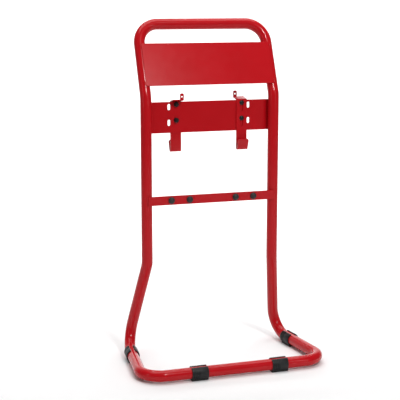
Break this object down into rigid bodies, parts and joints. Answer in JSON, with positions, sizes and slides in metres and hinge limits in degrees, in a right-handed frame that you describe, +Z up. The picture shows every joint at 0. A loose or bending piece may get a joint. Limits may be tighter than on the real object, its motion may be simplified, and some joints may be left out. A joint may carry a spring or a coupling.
{
  "type": "double fire extinguisher stand",
  "caption": "Free-standing stand of bent tube with a leaning sign panel, a slotted plate carrying two adjustable hook brackets, a buffer bar below and clip-on feet on a splayed base loop.",
  "frame": {"origin": "on the floor, under the middle of the stand's bounding box", "axes": "+X to the viewer's right, +Y to the back, +Z up; the hooks and buffers face -Y and the handle leans to +Y"},
  "size_m": [0.4708, 0.298, 0.824],
  "materials": {
    "red_paint": "glossy red powder coat",
    "black_steel": "black zinc, satin",
    "buffer_rubber": "matt",
    "foot_plastic": "fine-grained, low sheen"
  },
  "bodies": {
    "frame": {"handle_tube": "red_paint", "left_post_tube": "red_paint", "right_post_tube": "red_paint", "left_base_rail": "red_paint", "right_base_rail": "red_paint", "front_base_bar": "red_paint", "header_panel": "red_paint", "header_welds": "red_paint", "bracket_plate": "red_paint", "plate_welds": "red_paint", "lower_bar": "red_paint", "lower_bar_welds": "red_paint", "left_bolts": "black_steel", "right_bolts": "black_steel", "left_washers": "black_steel", "right_washers": "black_steel", "left_nuts": "black_steel", "right_nuts": "black_steel", "buffer_left_outer": "buffer_rubber", "buffer_left_inner": "buffer_rubber", "buffer_right_inner": "buffer_rubber", "buffer_right_outer": "buffer_rubber", "foot_front_left": "foot_plastic", "foot_front_right": "foot_plastic", "foot_rear_left": "foot_plastic", "foot_rear_right": "foot_plastic"},
    "left_bracket": {"left_bracket": "red_paint"},
    "right_bracket": {"right_bracket": "red_paint"}
  },
  "joints": [
    {"name": "left_bracket_height", "type": "slide", "parent": "frame", "child": "left_bracket", "axis": [0, 0, 1], "range_m": [0, 0.017]},
    {"name": "right_bracket_height", "type": "slide", "parent": "frame", "child": "right_bracket", "axis": [0, 0, 1], "range_m": [0, 0.017]}
  ]
}
